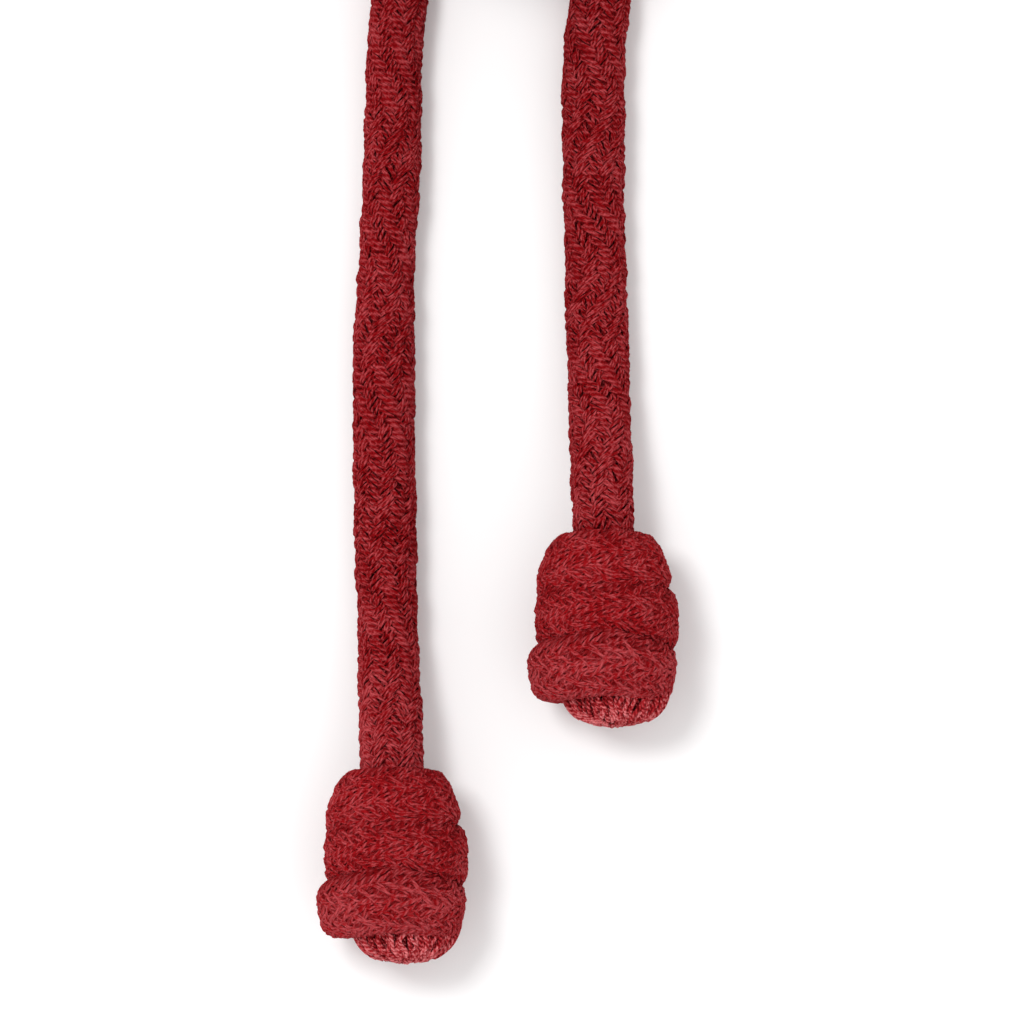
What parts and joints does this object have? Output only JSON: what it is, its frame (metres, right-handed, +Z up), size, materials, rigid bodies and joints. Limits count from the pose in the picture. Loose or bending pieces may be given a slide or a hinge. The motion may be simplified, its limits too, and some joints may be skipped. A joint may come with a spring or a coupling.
{
  "type": "knotted braided rope",
  "caption": "Long soft braided cord with a compact barrel knot at each end, laid out with both ends side by side and the spare length wound in a tied oval hank.",
  "frame": {"origin": "middle of the laid-out rope on the surface that it lies on", "axes": "+Y from the knotted ends towards the hank, +Z up, +X towards the shorter end's knot"},
  "size_m": [0.08, 0.338, 0.04],
  "materials": {
    "braid": "soft matte braided cotton",
    "core_yarn": "loose straight yarns",
    "cut_end": "spread cut yarn ends",
    "tie": "thin twisted cord"
  },
  "bodies": {
    "hank": {"hank_winding": "braid", "left_hank_tie": "tie", "right_hank_tie": "tie", "left_root_braid": "braid", "left_root_core": "core_yarn", "right_root_braid": "braid", "right_root_core": "core_yarn"},
    "left_leg": {"left_leg_braid": "braid", "left_leg_core": "core_yarn"},
    "left_knot": {"left_neck_braid": "braid", "left_neck_core": "core_yarn", "left_knot_upper_turn": "braid", "left_knot_middle_turn": "braid", "left_knot_lower_turn": "braid", "left_knot_standing_part": "braid", "left_cut_end": "cut_end"},
    "right_leg": {"right_leg_braid": "braid", "right_leg_core": "core_yarn"},
    "right_knot": {"right_neck_braid": "braid", "right_neck_core": "core_yarn", "right_knot_upper_turn": "braid", "right_knot_middle_turn": "braid", "right_knot_lower_turn": "braid", "right_knot_standing_part": "braid", "right_cut_end": "cut_end"}
  },
  "joints": [
    {"name": "left_swing", "type": "hinge", "parent": "hank", "child": "left_leg", "pos_m": [-0.016, -0.002, 0.005], "axis": [0, 0, 1], "range_deg": [-20, 0], "deforming": ["left_root_braid", "left_root_core"]},
    {"name": "right_swing", "type": "hinge", "parent": "hank", "child": "right_leg", "pos_m": [0.0185, -0.002, 0.005], "axis": [0, 0, 1], "range_deg": [0, 20], "deforming": ["right_root_braid", "right_root_core"]},
    {"name": "left_knot_tilt", "type": "hinge", "parent": "left_leg", "child": "left_knot", "pos_m": [-0.0173, -0.1285, 0.0103], "axis": [0, 0, 1], "range_deg": [-30, 30], "deforming": ["left_neck_braid", "left_neck_core"]},
    {"name": "right_knot_tilt", "type": "hinge", "parent": "right_leg", "child": "right_knot", "pos_m": [0.0179, -0.0895, 0.0103], "axis": [0, 0, 1], "range_deg": [-15, 30], "deforming": ["right_neck_braid", "right_neck_core"]}
  ]
}
